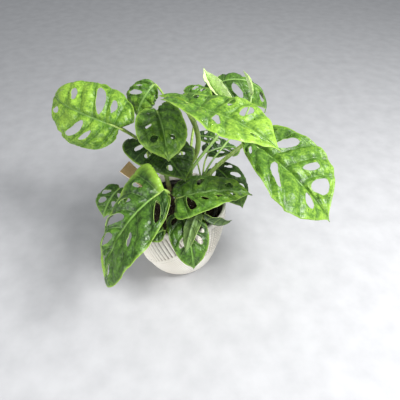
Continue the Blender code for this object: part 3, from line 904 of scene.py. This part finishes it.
def leaf_under(name, dark, middle, light):
    """The paler, duller underside, with its veins standing out and painted shade in the creases
    beside them.
    """
    skin = Finish(name, 0.5)
    place = skin.node("SeparateXYZ", Vector=skin.stored("place")["Vector"]).outputs
    look = skin.node("SeparateXYZ", Vector=skin.stored("look")["Vector"]).outputs
    from_vein = mm_from_vein(skin, place)
    vein = skin.spread(from_vein, 0.15, 1.1, 1, 0)
    tone = skin.maths("ADD", look["X"], skin.spread(skin.noise(110, 6), 0.3, 0.7, -0.2, 0.2))
    # Painted shade in the creases beside the veins, painted light on the panels between them.
    tone = skin.maths("ADD", tone, skin.spread(from_vein, 1, 5, -0.15, 0.05))
    green = skin.ramp(tone, (0, dark), (0.5, middle), (1, light))
    skin.colour(skin.mix(skin.maths("MULTIPLY", vein, 0.22), green, light))
    grain = skin.maths("ADD", skin.noise(160, 4), skin.maths("MULTIPLY", vein, 0.3))
    skin.bump(grain, 0.0015, 0.6)
    return skin.material


def leaf_edge(name, shade, light):
    skin = Finish(name, 0.4)
    grain = skin.noise(200)
    skin.colour(skin.ramp(grain, (0.3, shade), (0.7, light)))
    skin.bump(grain, 0.00005)
    return skin.material


def stalk_skin(name, shade, light):
    """Smooth green, streaked lengthwise."""
    skin = Finish(name, 0.35)
    streaks = skin.node("Mapping", Vector=skin.place, Scale=(1, 1, 0.2)).outputs["Vector"]
    grain = skin.noise(500, 5, streaks)
    skin.colour(skin.ramp(grain, (0.3, shade), (0.7, light)))
    skin.bump(grain, 0.0001)
    return skin.material


LEAF_FINISH = (
    leaf_top("leaf_top_skin", (0.014, 0.044, 0.004), (0.075, 0.18, 0.015), (0.27, 0.46, 0.045),
             (0.20, 0.36, 0.08)),
    leaf_under("leaf_underside", (0.04, 0.08, 0.02), (0.18, 0.29, 0.08), (0.42, 0.62, 0.12)),
    leaf_edge("leaf_margin", (0.24, 0.40, 0.07), (0.38, 0.54, 0.12)),
    stalk_skin("leaf_stalk", (0.20, 0.34, 0.05), (0.44, 0.58, 0.15)),
)
YOUNG_FINISH = (
    leaf_top("young_leaf_top", (0.25, 0.45, 0.08), (0.42, 0.62, 0.19), (0.64, 0.80, 0.38),
             (0.55, 0.72, 0.32)),
    leaf_under("young_leaf_underside", (0.30, 0.50, 0.10), (0.44, 0.64, 0.20),
               (0.66, 0.82, 0.40)),
    leaf_edge("young_leaf_margin", (0.40, 0.60, 0.15), (0.55, 0.72, 0.25)),
    stalk_skin("young_leaf_stalk", (0.25, 0.42, 0.10), (0.38, 0.55, 0.18)),
)


def make_leaf(leaf, seed):
    bend = Bend(leaf)
    finishes = YOUNG_FINISH if leaf.young else LEAF_FINISH
    shape = bmesh.new()
    shape.from_mesh(make_blade(leaf, bend, seed, finishes))
    blade_faces = len(shape.faces)
    shape.from_mesh(make_stalk(leaf, bend))
    shape.faces.ensure_lookup_table()
    stalk_faces = shape.faces[blade_faces:]
    for face in stalk_faces:
        face.material_index = 3
    stalk_verts = list({vert for face in stalk_faces for vert in face.verts})
    bmesh.ops.remove_doubles(shape, verts=stalk_verts, dist=0.00001)
    return finished(leaf.name + "_grown", shape, *finishes)


leaf_pieces = {}
for leaf_index, leaf_plan in enumerate(LEAVES):
    grown = make_leaf(leaf_plan, leaf_index)
    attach(grown, "root")
    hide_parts(leaf_plan.name)
    leaf_pieces[leaf_plan.name] = grown


# Water drops. The plant has just been misted, and small clear drops sit on the upper faces
# of its leaves.
DROPS = {
    "leaf_centre_left": 34,
    "leaf_centre_low": 30,
    "leaf_front_left": 50,
    "leaf_front_right": 34,
    "leaf_far_right": 30,
    "leaf_top": 34,
    "leaf_far_left": 16,
    "leaf_over_rim": 12,
    "leaf_back_right": 10,
    "leaf_left_low": 8,
}


def clear_water():
    water = Finish("clear_water", 0.03)
    water.shader.inputs["IOR"].default_value = 1.33
    water.shader.inputs["Transmission Weight"].default_value = 1
    water.colour(water.ramp(water.noise(40), (0.3, (0.93, 0.97, 0.95)), (0.7, (1, 1, 1))))
    return water.material


def make_drops():
    shape = bmesh.new()
    draw = random.Random(7)
    for name, count in DROPS.items():
        mesh = leaf_pieces[name].data
        tops = [face for face in mesh.polygons if face.material_index == 0]
        chosen = draw.choices(tops, weights=[face.area for face in tops], k=count)
        for face in chosen:
            radius = draw.uniform(0.4, 1.0) * MM
            drop = bmesh.ops.create_uvsphere(shape, u_segments=10, v_segments=6, radius=radius)
            turn = face.normal.to_track_quat("Z", "Y").to_matrix().to_4x4()
            flatten = Matrix.Diagonal((1, draw.uniform(0.8, 1.2), 0.55, 1))
            place = Matrix.Translation(face.center + face.normal * radius * 0.25)
            bmesh.ops.transform(shape, matrix=place @ turn @ flatten, verts=drop["verts"])
    return finished("water_drops", shape, clear_water())


drops = make_drops()
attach(drops, "root")


# Studio. A plain pale floor under soft light, seen from where the photograph was taken.
def pale_floor():
    paper = Finish("pale_paper", 0.8)
    fibre = paper.noise(30, 6)
    paper.colour(paper.ramp(fibre, (0.3, (0.43, 0.43, 0.44)), (0.7, (0.49, 0.49, 0.50))))
    return paper.material


floor_shape = bmesh.new()
bmesh.ops.create_grid(floor_shape, x_segments=1, y_segments=1, size=3)
floor = finished("studio_floor", floor_shape, pale_floor())


def soft_light(name, place, aim, size, power):
    lamp = bpy.data.lights.new(name, "AREA")
    lamp.shape = "DISK"
    lamp.size = size
    lamp.energy = power
    light = bpy.data.objects.new(name, lamp)
    light.location = place
    light.rotation_euler = (Vector(aim) - Vector(place)).to_track_quat("-Z", "Y").to_euler()
    bpy.context.scene.collection.objects.link(light)


soft_light("key", (0.75, -0.3, 1.05), (0, 0, 0.15), 0.5, 25)
soft_light("fill", (-0.6, -0.85, 0.4), (0, 0, 0.08), 0.6, 7)
sky = bpy.data.worlds.new("studio")
sky.use_nodes = True
sky.node_tree.nodes["Background"].inputs["Color"].default_value = (0.92, 0.96, 1, 1)
sky.node_tree.nodes["Background"].inputs["Strength"].default_value = 0.42
bpy.context.scene.world = sky
bpy.context.scene.view_settings.view_transform = "Standard"

# The camera stands in front of the plant and looks down on it at 42 degrees.
lens = bpy.data.cameras.new("camera")
lens.lens = 36
lens.sensor_width = 36
camera = bpy.data.objects.new("camera", lens)
camera.location = (0.0328, -0.4437, 0.5215)
camera.rotation_euler = (math.radians(48), 0, 0)
bpy.context.scene.collection.objects.link(camera)
bpy.context.scene.camera = camera
